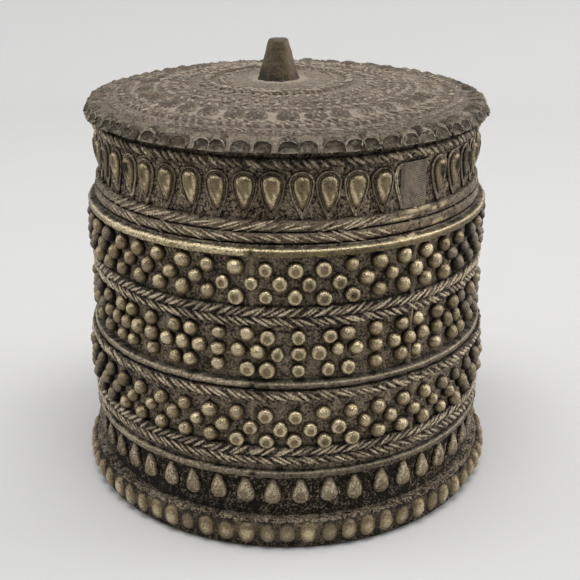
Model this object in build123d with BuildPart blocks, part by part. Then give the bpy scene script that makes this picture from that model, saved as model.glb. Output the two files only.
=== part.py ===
from build123d import *
from math import degrees, pi
import os

# Cast brass trinket box with a lift-off lid, in millimetres.
# The origin is the centre of the foot's underside, +Z is up and -Y is the front.

# What is laid on a curved wall has a flat seat this far from it
seat_clearance = 0.01

# Walls, from the bore outwards
bore_radius = 33.0
waist_wall = 4.45
lower_wall = 4.7
middle_wall = 3.5
upper_wall = 3.6
shoulder_wall = 2.6
neck_wall = 2.1

# Foot and floor
foot_height = 5.6
foot_wall = 6.35
foot_ledge = 1.5
floor_recess = 3.4
floor_overlap = 1.0
floor_clearance = 0.05
foot_lip_height = 0.9
foot_lip_rise = 0.6
foot_bead_pitch = 3.64
foot_bead_gap = 0.3
foot_bead_height = 3.7
foot_bead_middle = 3.4

# Twisted and plain wires laid round the wall
rope_height = 1.7
rope_rise = 1.2
strand_gap = 0.06
lower_wire_height = 1.6
lower_wire_rise = 1.0
middle_wire_height = 1.4
middle_wire_rise = 1.7
band_height = 1.8
band_rise = 1.3
shoulder_rope_rise = 0.9
neck_rope_height = 1.5
neck_rope_rise = 1.2

# Pellets
pellet_radius = 1.35
pellet_standoff = 0.35
pellets_per_row = 48
row_nest = 0.3
upper_row_nest = 0.25
pellet_first_angle = 2.0
motif_count = 17
motif_first_angle = 2.9
motif_row_gap = 0.25
rosette_gap = 0.5

# Drops with their outline wires
drops_per_ring = 48
waist_loop_gap = 0.5
waist_loop_wire = 0.4
waist_drop_clearance = 0.35
waist_loop_thickness = 0.45
waist_point_length = 3.25
neck_loop_gap = 0.3
neck_loop_wire = 0.45
neck_drop_clearance = 0.2
neck_loop_thickness = 0.5
neck_point_length = 4.75
neck_leg_length = 5.85

# Plain patch in the ring of neck drops
patch_start_angle = 32.0
patch_end_angle = 41.5
patch_next_drop_angle = 47.0
patch_thickness = 0.5
drops_before_patch = 5
drops_after_patch = 41

# Clear heights between one course and the next
foot_to_waist_loops = 1.85
waist_tip_to_wire = 0.7
wire_to_lower_braid = 1.25
braid_to_lower_pellets = 0.12
lower_pellets_to_rope = 1.3
rope_to_middle_wire = 0.2
wire_to_middle_pellets = 1.0
middle_pellets_to_braid = 0.35
braid_to_upper_pellets = 0.7
upper_pellets_to_band = 0.3
band_to_shoulder = 0.4
shoulder_strand_gap = 0.2
shoulder_to_neck_loops = 0.15
neck_loops_to_rope = 0.55
neck_rope_to_mouth = 1.35

# Lid
lid_overhang = 2.9
lid_edge_thickness = 1.5
lid_step = 0.8
dome_rise = 2.6
hollow_rise = 2.4
lift_clearance = 0.4
spigot_wall = 1.8
spigot_depth = 4.0
lobe_radius = 1.75
lobe_rise = 0.8
petal_count = 66
petal_gap = 0.25
petal_length = 4.5
petal_height = 0.8
petal_rounding = 0.45
outer_wire_thickness = 0.9
outer_rope_thickness = 1.5
mound_count = 36
mound_gap = 0.36
mound_rise = 0.9
middle_ring_thickness = 1.0
middle_ring_shift = 1.0
inner_rope_thickness = 1.8
core_rope_thickness = 1.1
knob_shift = 1.5
knob_base_radius = 3.72
knob_top_radius = 2.0
knob_height = 7.2
knob_rounding = 0.35

# Clear widths on the lid between one ring and the next, from the edge inwards
edge_to_petals = 0.1
petals_to_dome = 0.2
dome_edge_to_wire = 0.25
wire_to_outer_rope = 0.8
outer_rope_to_mounds = 1.335
mounds_to_middle_ring = 5.885
middle_ring_to_inner_rope = 3.2
inner_rope_to_core_rope = 1.05

# Outer radius of the wall behind each course
waist_radius = bore_radius + waist_wall
lower_radius = bore_radius + lower_wall
middle_radius = bore_radius + middle_wall
upper_radius = bore_radius + upper_wall
shoulder_radius = bore_radius + shoulder_wall
neck_radius = bore_radius + neck_wall
foot_radius = bore_radius + foot_wall
foot_bead_count = round(2 * pi * foot_radius / foot_bead_pitch)

# Drop and loop sizes that share out the circumference
waist_loop_radius = pi * waist_radius / drops_per_ring - waist_loop_gap / 2
waist_loop_inside = waist_loop_radius - waist_loop_wire
waist_drop_radius = waist_loop_inside - waist_drop_clearance
neck_loop_radius = pi * neck_radius / drops_per_ring - neck_loop_gap / 2
neck_loop_inside = neck_loop_radius - neck_loop_wire
neck_drop_radius = neck_loop_inside - neck_drop_clearance

# Heights of the courses, from the foot up
waist_ball_z = foot_height + foot_to_waist_loops + waist_loop_radius
waist_tip_z = waist_ball_z + waist_point_length
lower_wire_z = waist_tip_z + waist_tip_to_wire + lower_wire_height / 2
lower_braid_bottom_z = lower_wire_z + lower_wire_height / 2 + wire_to_lower_braid + rope_height / 2
lower_braid_top_z = lower_braid_bottom_z + rope_height + strand_gap
lower_row_z = lower_braid_top_z + rope_height / 2 + braid_to_lower_pellets + pellet_radius
lower_row_pitch = 2 * pellet_radius - row_nest
middle_rope_z = lower_row_z + 2 * lower_row_pitch + pellet_radius + lower_pellets_to_rope + rope_height / 2
middle_wire_z = middle_rope_z + rope_height / 2 + rope_to_middle_wire + middle_wire_height / 2
middle_row_z = middle_wire_z + middle_wire_height / 2 + wire_to_middle_pellets + pellet_radius
middle_row_pitch = 2 * pellet_radius + motif_row_gap
middle_top_row_z = middle_row_z + 2 * middle_row_pitch
upper_braid_bottom_z = middle_top_row_z + pellet_radius + middle_pellets_to_braid + rope_height / 2
upper_braid_top_z = upper_braid_bottom_z + rope_height + strand_gap
upper_row_z = upper_braid_top_z + rope_height / 2 + braid_to_upper_pellets + pellet_radius
upper_row_pitch = 2 * pellet_radius - upper_row_nest
band_z = upper_row_z + 2 * upper_row_pitch + pellet_radius + upper_pellets_to_band + band_height / 2
shoulder_lower_z = band_z + band_height / 2 + band_to_shoulder + rope_height / 2
shoulder_upper_z = shoulder_lower_z + rope_height + shoulder_strand_gap
neck_leg_z = shoulder_upper_z + rope_height / 2 + shoulder_to_neck_loops
neck_ball_z = neck_leg_z + neck_leg_length
neck_loop_top_z = neck_ball_z + neck_loop_radius
neck_rope_z = neck_loop_top_z + neck_loops_to_rope + neck_rope_height / 2
mouth_z = neck_rope_z + neck_rope_height / 2 + neck_rope_to_mouth

# Steps in the wall, hidden in the gaps between courses
waist_step_z = waist_tip_z + waist_tip_to_wire / 2
lower_step_z = middle_rope_z + rope_height / 2 + rope_to_middle_wire / 2
middle_step_z = upper_braid_bottom_z + (rope_height + strand_gap) / 2
upper_step_z = band_z + band_height / 2 + band_to_shoulder / 2
shoulder_step_z = neck_leg_z - shoulder_to_neck_loops / 2

# Radii of the lid's rings, from the edge inwards
lid_radius = neck_radius + lid_overhang
petal_end_radius = lid_radius - edge_to_petals
petal_start_radius = petal_end_radius - petal_length
dome_radius = petal_start_radius - petals_to_dome
outer_wire_radius = dome_radius - dome_edge_to_wire - outer_wire_thickness / 2
outer_wire_inside = outer_wire_radius - outer_wire_thickness / 2
outer_rope_radius = outer_wire_inside - wire_to_outer_rope - outer_rope_thickness / 2
outer_rope_inside = outer_rope_radius - outer_rope_thickness / 2
mound_outside = outer_rope_inside - outer_rope_to_mounds
mound_ring_radius = (mound_outside + mound_gap / 2) / (1 + pi / mound_count)
mound_foot = pi * mound_ring_radius / mound_count - mound_gap / 2
mound_inside = mound_ring_radius - mound_foot
middle_ring_radius = mound_inside - mounds_to_middle_ring - middle_ring_thickness / 2
middle_ring_inside = middle_ring_radius - middle_ring_thickness / 2
inner_rope_radius = middle_ring_inside - middle_ring_to_inner_rope - inner_rope_thickness / 2
inner_rope_inside = inner_rope_radius - inner_rope_thickness / 2
core_rope_radius = inner_rope_inside - inner_rope_to_core_rope - core_rope_thickness / 2

# Lid heights
lid_edge_z = mouth_z + lid_edge_thickness
dome_edge_z = lid_edge_z + lid_step
dome_top_z = dome_edge_z + dome_rise
dome_sphere_radius = (dome_radius**2 + dome_rise**2) / (2 * dome_rise)
spigot_radius = bore_radius - lift_clearance
spigot_inside = spigot_radius - spigot_wall

front_angle = -90.0
pellet_pitch = 360 / pellets_per_row
drop_pitch = 360 / drops_per_ring
motif_pitch = 360 / motif_count


def ring_section(wall_radius, rise, middle, height):
    # A wire's section: flat against the wall, half round on the outside.
    half = height / 2
    crest = wall_radius + rise
    with BuildSketch(Plane.XZ) as section:
        with BuildLine():
            back = Line((wall_radius, middle + half), (wall_radius, middle - half))
            low = Line(back @ 1, (crest - half, middle - half))
            nose = ThreePointArc(low @ 1, (crest, middle), (crest - half, middle + half))
            Line(nose @ 1, back @ 0)
        make_face()
    return section.sketch


def pellet(wall_radius, middle):
    # One round pellet on the +X side, flat where it sits on the wall.
    seat = wall_radius + seat_clearance
    centre = seat + pellet_standoff
    foot = (pellet_radius**2 - pellet_standoff**2) ** 0.5
    with BuildPart() as ball:
        with BuildSketch(Plane.XZ):
            with BuildLine():
                side = Line((seat, middle), (seat, middle + foot))
                front = (centre + pellet_radius, middle)
                crown = ThreePointArc(side @ 1, (centre, middle + pellet_radius), front)
                Line(crown @ 1, side @ 0)
            make_face()
        revolve(axis=Axis((0, 0, middle), (1, 0, 0)))
    return ball.part


def seat_plane(wall_radius, middle):
    # The upright plane against the wall on the +X side, facing outwards.
    origin = (wall_radius + seat_clearance, 0, middle)
    return Plane(origin, x_dir=(0, 1, 0), z_dir=(1, 0, 0))


def half_turn(plane):
    # The upright axis in a seat plane, turning from one side over the front to the other.
    return Axis(plane.origin, (0, 0, -1))


def drop(wall_radius, ball_radius, ball_z, point_length, point_direction):
    # One half drop on the +X side: a ball that runs out to a point, flat at the wall.
    lean = ball_radius / point_length
    touch = (ball_radius * (1 - lean**2) ** 0.5, point_direction * ball_radius * lean)
    low = (ball_radius * 0.8, -point_direction * ball_radius * 0.6)
    seat = seat_plane(wall_radius, ball_z)
    with BuildPart() as solid:
        with BuildSketch(seat):
            with BuildLine():
                flank = Line((0, point_direction * point_length), touch)
                end = ThreePointArc(flank @ 1, low, (0, -point_direction * ball_radius))
                Line(end @ 1, flank @ 0)
            make_face()
        revolve(axis=half_turn(seat), revolution_arc=180)
    return solid.part


def teardrop(round_radius, half_angle_sine, direction):
    # A flat teardrop about its round centre, its flanks at a set angle.
    length = round_radius / half_angle_sine
    touch_x = round_radius * (1 - half_angle_sine**2) ** 0.5
    touch_z = direction * round_radius * half_angle_sine
    with BuildSketch() as face:
        Circle(round_radius)
        with BuildLine():
            Polyline(
                (0, direction * length),
                (touch_x, touch_z),
                (-touch_x, touch_z),
                close=True,
            )
        make_face()
    return face.sketch


def outline_loop(wall_radius, outside, inside, flank_sine, thickness, ball_z, leg_length, direction):
    # A thin wire that outlines one drop on the +X side and is cut square at its legs.
    with BuildPart() as loop:
        with BuildSketch(seat_plane(wall_radius, ball_z)):
            add(teardrop(outside, flank_sine, direction))
            add(teardrop(inside, flank_sine, direction), mode=Mode.SUBTRACT)
            with Locations((0, direction * (leg_length - 2 * outside) / 2)):
                Rectangle(4 * outside, leg_length + 2 * outside, mode=Mode.INTERSECT)
        extrude(amount=thickness)
    return loop.part


def dome_face(edge_radius, edge_z, rise):
    # The section under a shallow dome, from the mouth's height up to its arc.
    sphere = (edge_radius**2 + rise**2) / (2 * rise)
    side = edge_radius * 0.6
    side_z = edge_z + rise - sphere + (sphere**2 - side**2) ** 0.5
    with BuildSketch(Plane.XZ) as section:
        with BuildLine():
            Polyline((0, edge_z + rise), (0, mouth_z), (edge_radius, mouth_z))
            if edge_z > mouth_z:
                Line((edge_radius, mouth_z), (edge_radius, edge_z))
            ThreePointArc((edge_radius, edge_z), (side, side_z), (0, edge_z + rise))
        make_face()
    return section.sketch


def dome_height(radius):
    # Height of the lid's domed top at a distance from its middle.
    return dome_top_z - dome_sphere_radius + (dome_sphere_radius**2 - radius**2) ** 0.5


def dome_blank():
    # The lid's domed body, used to seat what lies on it.
    with BuildPart() as blank:
        revolve(dome_face(dome_radius, dome_edge_z, dome_rise), axis=Axis.Z)
    return blank.part


def ring_on_dome(radius, thickness, shift):
    # A round wire ring lying on the dome, its middle shifted to the left.
    with BuildPart() as ring:
        with Locations((-shift, 0, dome_height(radius))):
            Torus(radius, thickness / 2)
        add(dome_blank(), mode=Mode.SUBTRACT)
    return ring.part


os.makedirs("parts", exist_ok=True)

# Foot: an open ring with a lip at the floor and a ledge inside for the box's floor.
foot_inside = bore_radius - foot_ledge
floor_seat_radius = bore_radius + floor_overlap
with BuildPart() as foot_ring:
    with BuildSketch(Plane.XZ):
        with BuildLine():
            Polyline(
                (foot_inside, 0),
                (foot_radius + foot_lip_rise, 0),
                (foot_radius + foot_lip_rise, foot_lip_height),
                (foot_radius, foot_lip_height + foot_lip_rise),
                (foot_radius, foot_height),
                (floor_seat_radius, foot_height),
                (floor_seat_radius, floor_recess),
                (foot_inside, floor_recess),
                close=True,
            )
        make_face()
    revolve(axis=Axis.Z)
foot_ring.part.label = "foot_ring"
export_step(foot_ring.part, "parts/foot_ring.step")

# Row of upright beads round the foot
bead_half_width = pi * foot_radius / foot_bead_count - foot_bead_gap / 2
bead_seat = seat_plane(foot_radius, foot_bead_middle)
with BuildPart() as bead:
    with BuildSketch(bead_seat):
        SlotOverall(foot_bead_height, 2 * bead_half_width, rotation=90)
        with Locations((-bead_half_width, 0)):
            Rectangle(2 * bead_half_width, 2 * foot_bead_height, mode=Mode.SUBTRACT)
    revolve(axis=half_turn(bead_seat), revolution_arc=180)
with BuildPart() as foot_beads:
    with PolarLocations(0, foot_bead_count, start_angle=front_angle):
        add(bead.part)
foot_beads.part.label = "foot_beads"
export_step(foot_beads.part, "parts/foot_beads.step")

# Floor plate, resting on the foot's ledge and held under the wall
with BuildPart() as box_floor:
    with BuildSketch(Plane.XY.offset(floor_recess)):
        Circle(floor_seat_radius - floor_clearance)
    extrude(amount=foot_height - floor_recess)
box_floor.part.label = "box_floor"
export_step(box_floor.part, "parts/box_floor.step")

# Wall: one straight bore, stepped outside behind each course
with BuildPart() as box_wall:
    with BuildSketch(Plane.XZ):
        with BuildLine():
            Polyline(
                (bore_radius, foot_height),
                (waist_radius, foot_height),
                (waist_radius, waist_step_z),
                (lower_radius, waist_step_z),
                (lower_radius, lower_step_z),
                (middle_radius, lower_step_z),
                (middle_radius, middle_step_z),
                (upper_radius, middle_step_z),
                (upper_radius, upper_step_z),
                (shoulder_radius, upper_step_z),
                (shoulder_radius, shoulder_step_z),
                (neck_radius, shoulder_step_z),
                (neck_radius, mouth_z),
                (bore_radius, mouth_z),
                close=True,
            )
        make_face()
    revolve(axis=Axis.Z)
box_wall.part.label = "box_wall"
export_step(box_wall.part, "parts/box_wall.step")

# Plain and twisted wires: name, wall behind, rise, height of the middle, thickness
wire_courses = [
    ("lower_plain_wire", lower_radius, lower_wire_rise, lower_wire_z, lower_wire_height),
    ("lower_braid_bottom_rope", lower_radius, rope_rise, lower_braid_bottom_z, rope_height),
    ("lower_braid_top_rope", lower_radius, rope_rise, lower_braid_top_z, rope_height),
    ("middle_rope", lower_radius, rope_rise, middle_rope_z, rope_height),
    ("middle_plain_wire", middle_radius, middle_wire_rise, middle_wire_z, middle_wire_height),
    ("upper_braid_bottom_rope", middle_radius, rope_rise, upper_braid_bottom_z, rope_height),
    ("upper_braid_top_rope", upper_radius, rope_rise, upper_braid_top_z, rope_height),
    ("polished_band", upper_radius, band_rise, band_z, band_height),
    ("shoulder_rope_lower", shoulder_radius, rope_rise, shoulder_lower_z, rope_height),
    ("shoulder_rope_upper", shoulder_radius, shoulder_rope_rise, shoulder_upper_z, rope_height),
    ("neck_rope", neck_radius, neck_rope_rise, neck_rope_z, neck_rope_height),
]
for course_name, wall_radius, rise, middle, height in wire_courses:
    with BuildPart() as wire:
        revolve(ring_section(wall_radius, rise, middle, height), axis=Axis.Z)
    wire.part.label = course_name
    export_step(wire.part, f"parts/{course_name}.step")

# Two fields of pellets in three rows, the middle row set half a pitch aside
pellet_fields = [
    ("lower_pellets", lower_radius, lower_row_z, lower_row_pitch),
    ("upper_pellets", upper_radius, upper_row_z, upper_row_pitch),
]
for field_name, wall_radius, first_row_z, row_pitch in pellet_fields:
    with BuildPart() as field:
        for row in range(3):
            row_angle = front_angle + pellet_first_angle + (row % 2) * pellet_pitch / 2
            with PolarLocations(0, pellets_per_row, start_angle=row_angle):
                add(pellet(wall_radius, first_row_z + row * row_pitch))
    field.part.label = field_name
    export_step(field.part, f"parts/{field_name}.step")

# Middle field: columns of three between rosettes of seven
rosette_step = degrees((2 * pellet_radius + rosette_gap) / (middle_radius + pellet_standoff))
with BuildPart() as middle_pellets:
    for row in range(3):
        side_step = rosette_step if row == 1 else rosette_step / 2
        row_pellet = pellet(middle_radius, middle_row_z + row * middle_row_pitch)
        rosette_angle = motif_first_angle + motif_pitch / 2
        offsets = [motif_first_angle, rosette_angle - side_step, rosette_angle + side_step]
        if row == 1:
            offsets.append(rosette_angle)
        for offset_angle in offsets:
            with PolarLocations(0, motif_count, start_angle=front_angle + offset_angle):
                add(row_pellet)
middle_pellets.part.label = "middle_pellets"
export_step(middle_pellets.part, "parts/middle_pellets.step")

# Drops at the waist, round end down, each in its outline wire
waist_drop = drop(waist_radius, waist_drop_radius, waist_ball_z, waist_point_length, 1)
with BuildPart() as waist_drops:
    with PolarLocations(0, drops_per_ring, start_angle=front_angle + drop_pitch / 2):
        add(waist_drop)
waist_drops.part.label = "waist_drops"
export_step(waist_drops.part, "parts/waist_drops.step")

waist_loop = outline_loop(
    waist_radius,
    waist_loop_radius,
    waist_loop_inside,
    waist_drop_radius / waist_point_length,
    waist_loop_thickness,
    waist_ball_z,
    waist_point_length + waist_tip_to_wire / 4,
    1,
)
with BuildPart() as waist_drop_loops:
    with PolarLocations(0, drops_per_ring, start_angle=front_angle + drop_pitch / 2):
        add(waist_loop)
waist_drop_loops.part.label = "waist_drop_loops"
export_step(waist_drop_loops.part, "parts/waist_drop_loops.step")

# Drops at the neck, point down, on both sides of the plain patch
after_patch_span = 360 - patch_next_drop_angle - drop_pitch / 2
neck_drop = drop(neck_radius, neck_drop_radius, neck_ball_z, neck_point_length, -1)
neck_loop = outline_loop(
    neck_radius,
    neck_loop_radius,
    neck_loop_inside,
    neck_drop_radius / neck_point_length,
    neck_loop_thickness,
    neck_ball_z,
    neck_leg_length,
    -1,
)
neck_angles = [front_angle + drop_pitch * (place - 0.5) for place in range(drops_before_patch)]
for place in range(drops_after_patch):
    step = after_patch_span / drops_after_patch
    neck_angles.append(front_angle + patch_next_drop_angle + place * step)
with BuildPart() as neck_drops:
    for angle in neck_angles:
        with PolarLocations(0, 1, start_angle=angle):
            add(neck_drop)
neck_drops.part.label = "neck_drops"
export_step(neck_drops.part, "parts/neck_drops.step")

with BuildPart() as neck_drop_loops:
    for angle in neck_angles:
        with PolarLocations(0, 1, start_angle=angle):
            add(neck_loop)
neck_drop_loops.part.label = "neck_drop_loops"
export_step(neck_drop_loops.part, "parts/neck_drop_loops.step")

# Plain patch where two drops are missing
patch_middle_angle = front_angle + (patch_start_angle + patch_end_angle) / 2
with BuildPart() as side_patch:
    with BuildSketch(Plane.XZ):
        with Locations((neck_radius + patch_thickness / 2, (neck_leg_z + neck_loop_top_z) / 2)):
            Rectangle(patch_thickness, neck_loop_top_z - neck_leg_z)
    revolve(axis=Axis.Z, revolution_arc=patch_end_angle - patch_start_angle)
side_patch.part = side_patch.part.rotate(Axis.Z, front_angle + patch_start_angle)
side_patch.part.label = "side_patch"
export_step(side_patch.part, "parts/side_patch.step")

# Lid plate: a scalloped edge, a low dome and a hollow underside
lobe_centre_radius = lid_radius - lobe_radius
with BuildPart() as lid_plate:
    with BuildSketch(Plane.XY.offset(mouth_z)):
        Circle(lid_radius - lobe_rise)
        with PolarLocations(lobe_centre_radius, petal_count, start_angle=front_angle):
            Circle(lobe_radius)
    extrude(amount=lid_edge_thickness)
    revolve(dome_face(dome_radius, dome_edge_z, dome_rise), axis=Axis.Z)
    revolve(dome_face(spigot_inside, mouth_z, hollow_rise), axis=Axis.Z, mode=Mode.SUBTRACT)
lid_plate.part.label = "lid_plate"
export_step(lid_plate.part, "parts/lid_plate.step")

# Spigot ring under the lid, loose in the bore
with BuildPart() as lid_spigot:
    with BuildSketch(Plane.XY.offset(mouth_z - spigot_depth)):
        Circle(spigot_radius)
        Circle(spigot_inside, mode=Mode.SUBTRACT)
    extrude(amount=spigot_depth)
lid_spigot.part.label = "lid_spigot"
export_step(lid_spigot.part, "parts/lid_spigot.step")

# Petals round the edge, one over each lobe
petal_middle_radius = (petal_start_radius + petal_end_radius) / 2
petal_width = 2 * pi * petal_middle_radius / petal_count - petal_gap
with BuildPart() as petal:
    with BuildSketch(Plane.XY.offset(lid_edge_z)):
        with Locations((petal_middle_radius, 0)):
            SlotOverall(petal_end_radius - petal_start_radius, petal_width)
    extrude(amount=petal_height)
    fillet(petal.faces().sort_by(Axis.Z)[-1].edges(), radius=petal_rounding)
with BuildPart() as lid_petals:
    with PolarLocations(0, petal_count, start_angle=front_angle):
        add(petal.part)
lid_petals.part.label = "lid_petals"
export_step(lid_petals.part, "parts/lid_petals.step")

# Rings laid on the dome: name, radius, thickness, shift to the left
dome_rings = [
    ("lid_outer_wire", outer_wire_radius, outer_wire_thickness, 0),
    ("lid_outer_rope", outer_rope_radius, outer_rope_thickness, 0),
    ("lid_middle_wire", middle_ring_radius, middle_ring_thickness, middle_ring_shift),
    ("lid_inner_rope", inner_rope_radius, inner_rope_thickness, knob_shift),
    ("lid_core_rope", core_rope_radius, core_rope_thickness, knob_shift),
]
for ring_name, ring_radius, thickness, shift in dome_rings:
    with BuildPart() as dome_ring:
        add(ring_on_dome(ring_radius, thickness, shift))
    dome_ring.part.label = ring_name
    export_step(dome_ring.part, f"parts/{ring_name}.step")

# Low mounds between the outer rope and the middle wire
mound_sphere = (mound_foot**2 + mound_rise**2) / (2 * mound_rise)
dome_lean = mound_ring_radius / dome_sphere_radius
dome_upright = (1 - dome_lean**2) ** 0.5
mound_plane = Plane(
    (mound_ring_radius, 0, dome_height(mound_ring_radius)),
    x_dir=(dome_upright, 0, -dome_lean),
    z_dir=(dome_lean, 0, dome_upright),
)
with BuildPart(mound_plane) as mound:
    with Locations((0, 0, mound_rise - mound_sphere)):
        Sphere(mound_sphere)
    split(bisect_by=mound_plane.offset(seat_clearance))
with BuildPart() as lid_mounds:
    with PolarLocations(0, mound_count, start_angle=front_angle):
        add(mound.part)
lid_mounds.part.label = "lid_mounds"
export_step(lid_mounds.part, "parts/lid_mounds.step")

# Knob: a plain tapered stub, a little left of the middle
knob_foot_z = dome_height(knob_shift + knob_base_radius)
with BuildPart() as lid_knob:
    with BuildSketch(Plane.XY.offset(knob_foot_z)):
        with Locations((-knob_shift, 0)):
            Circle(knob_base_radius)
    with BuildSketch(Plane.XY.offset(dome_top_z + knob_height)):
        with Locations((-knob_shift, 0)):
            Circle(knob_top_radius)
    loft()
    add(dome_blank(), mode=Mode.SUBTRACT)
    fillet(lid_knob.faces().sort_by(Axis.Z)[-1].edges(), radius=knob_rounding)
lid_knob.part.label = "lid_knob"
export_step(lid_knob.part, "parts/lid_knob.step")
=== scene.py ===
import math
import random
from functools import partial
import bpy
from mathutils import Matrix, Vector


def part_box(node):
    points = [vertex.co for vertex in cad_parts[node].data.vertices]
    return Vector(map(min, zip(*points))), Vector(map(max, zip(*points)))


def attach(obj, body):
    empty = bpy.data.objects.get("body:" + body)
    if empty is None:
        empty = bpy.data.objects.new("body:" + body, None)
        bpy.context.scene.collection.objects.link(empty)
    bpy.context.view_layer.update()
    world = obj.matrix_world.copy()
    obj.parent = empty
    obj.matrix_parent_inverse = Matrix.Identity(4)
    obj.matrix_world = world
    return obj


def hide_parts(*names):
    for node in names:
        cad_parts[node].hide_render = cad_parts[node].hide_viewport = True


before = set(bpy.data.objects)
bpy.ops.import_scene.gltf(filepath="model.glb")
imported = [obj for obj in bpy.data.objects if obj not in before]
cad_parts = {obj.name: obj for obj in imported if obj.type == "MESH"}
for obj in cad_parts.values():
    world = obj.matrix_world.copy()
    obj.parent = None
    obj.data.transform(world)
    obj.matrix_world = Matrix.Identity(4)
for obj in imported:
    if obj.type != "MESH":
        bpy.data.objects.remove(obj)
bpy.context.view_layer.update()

from types import SimpleNamespace

import bpy
from mathutils import Matrix, Vector

mm = 0.001
frontAngle = math.radians(-90)  # angles on the box count from the front, -Y
chance = random.Random(41)
vary = chance.uniform
print("frame loaded")


def clearSelection():
    bpy.ops.object.select_all(action="DESELECT")


def workOn(piece):
    clearSelection()
    piece.select_set(True)
    bpy.context.view_layer.objects.active = piece


def rename(piece, name):
    piece.name = name
    piece.data.name = name
    return piece


def newMesh(name, operator, **settings):  # its place and turn go into the mesh
    clearSelection()
    operator(**settings)
    piece = bpy.context.object
    workOn(piece)
    bpy.ops.object.transform_apply(location=True, rotation=True, scale=True)
    return rename(piece, name)


def newBall(name, segments, rings, **settings):
    ball = bpy.ops.mesh.primitive_uv_sphere_add
    return newMesh(name, ball, segments=segments, ring_count=rings, **settings)


def selectAll():  # in edit mode
    bpy.ops.mesh.select_all(action="SELECT")


def startEdit(piece, mode="VERT"):
    workOn(piece)
    bpy.ops.object.mode_set(mode="EDIT")
    bpy.ops.mesh.select_mode(type=mode)
    selectAll()


def endEdit():
    bpy.ops.object.mode_set(mode="OBJECT")


def pickFaces(piece, rule):  # in edit mode
    bpy.ops.mesh.select_all(action="DESELECT")
    bpy.ops.object.mode_set(mode="OBJECT")
    for face in piece.data.polygons:
        face.select = rule(face)
    bpy.ops.object.mode_set(mode="EDIT")


def cutBack(piece, point, normal):  # what lies behind a plane goes, and the cut is closed
    startEdit(piece)
    bpy.ops.mesh.bisect(plane_co=point, plane_no=normal, use_fill=True, clear_inner=True)
    endEdit()


def signed(angle):  # between -180 and 180 degrees
    return (angle + 180) % 360 - 180


def turnTo(angle):  # from degrees counted from the front to radians from the X axis
    return frontAngle + math.radians(angle)


def fromFront(co):  # degrees round the box, 0 at the front and rising to the right
    return signed(math.degrees(math.atan2(co.y, co.x) - frontAngle))


def share(value, low, high):  # 0 at low, 1 at high, straight between
    return min(1.0, max(0.0, (value - low) / (high - low)))


def shelter(angle):  # 0 at the front, 1 at the sides and back, which hands rub less and which are painted darker as shade
    angle = signed(angle)
    return share(angle, 34, 62) if angle > 0 else share(angle, -34, -78)


def duller(angle):  # a random tone for a piece laid on the wall, lowered at the sides and back: less worn there, and painted darker as shade
    return 0.6 * chance.random() + 0.4 - 0.9 * shelter(angle)


def course(node):  # where a course lies, from its solid in the frame
    low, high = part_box(node)
    return SimpleNamespace(z=(low.z + high.z) / 2, low=low.z, high=high.z, crest=high.x)


def between(lower, upper):  # the height half way between two courses
    return (course(lower).high + course(upper).low) / 2


def paint(piece, rule, layerName="relief"):  # one value for each vertex, held to 0..1
    layer = piece.data.attributes.new(layerName, "FLOAT", "POINT")
    for vert, entry in zip(piece.data.vertices, layer.data):
        entry.value = min(1.0, max(0.0, rule(vert.co)))


def joinPieces(pieces, name):
    clearSelection()
    for piece in pieces:
        piece.select_set(True)
    bpy.context.view_layer.objects.active = pieces[0]
    bpy.ops.object.join()
    return rename(bpy.context.object, name)


def copyAround(piece, name, places, pivot):
    # Each place is a dictionary: angle and size, and optionally out, rise, turn and tone.
    copies = []
    for place in places:
        twin = piece.copy()
        twin.data = piece.data.copy()
        bpy.context.collection.objects.link(twin)
        around = Matrix.Rotation(place["angle"], 4, "Z")
        lift = Matrix.Translation((place.get("out", 0), 0, place.get("rise", 0)))
        turned = Matrix.Rotation(place.get("turn", 0), 4, "X")
        shaped = Matrix.Diagonal((*place["size"], 1)) @ Matrix.Translation(-pivot)
        twin.data.transform(around @ lift @ Matrix.Translation(pivot) @ turned @ shaped)
        tone = twin.data.attributes.new("tone", "FLOAT", "POINT")
        value = place.get("tone", chance.random())
        for entry in tone.data:
            entry.value = value
        copies.append(twin)
    joined = joinPieces(copies, name)
    bpy.data.objects.remove(piece)
    return joined


def scatter(count, spread):  # places round a ring, each a little off by chance
    places = []
    for step in range(count):
        drift = vary(-spread["drift"], spread["drift"])
        place = {"angle": frontAngle + (step + drift) * 2 * math.pi / count}
        for way in ("out", "rise"):
            if way in spread:
                place[way] = vary(*spread[way]) * mm
        place["size"] = [span if span == 1 else vary(*span) for span in spread["size"]]
        if spread["toned"]:
            place["tone"] = chance.random()
        places.append(place)
    return places


def roughen(piece, depth, grain, rule=None):  # the waver of a hand-made wax surface
    cloud = bpy.data.textures.new(piece.name + "Cloud", "CLOUDS")
    cloud.noise_scale = grain
    cloud.noise_depth = 1
    workOn(piece)
    bpy.ops.object.modifier_add(type="DISPLACE")
    waver = piece.modifiers[-1]
    waver.texture = cloud
    waver.texture_coords = "LOCAL"
    waver.strength = depth
    waver.mid_level = 0.5
    if rule:
        group = piece.vertex_groups.new(name="rough")
        waver.vertex_group = group.name
        for vert in piece.data.vertices:
            group.add([vert.index], rule(vert.co), "REPLACE")
    bpy.ops.object.modifier_apply(modifier=waver.name)


def smooth(piece, angle=None):
    workOn(piece)
    if angle is None:
        bpy.ops.object.shade_smooth()
    else:
        bpy.ops.object.shade_smooth_by_angle(angle=math.radians(angle))


def drawChain(points):  # vertices drawn out one after another, selected in edit mode
    clearSelection()
    bpy.ops.mesh.primitive_plane_add(size=0.01)
    startEdit(bpy.context.object)
    bpy.ops.mesh.merge(type="CENTER")
    bpy.ops.transform.translate(value=points[0])
    for point, last in zip(points[1:], points[:-1]):
        step = [now - before for now, before in zip(point, last)]
        bpy.ops.mesh.extrude_region_move(TRANSFORM_OT_translate={"value": step})
    selectAll()
    return bpy.context.object


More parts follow.
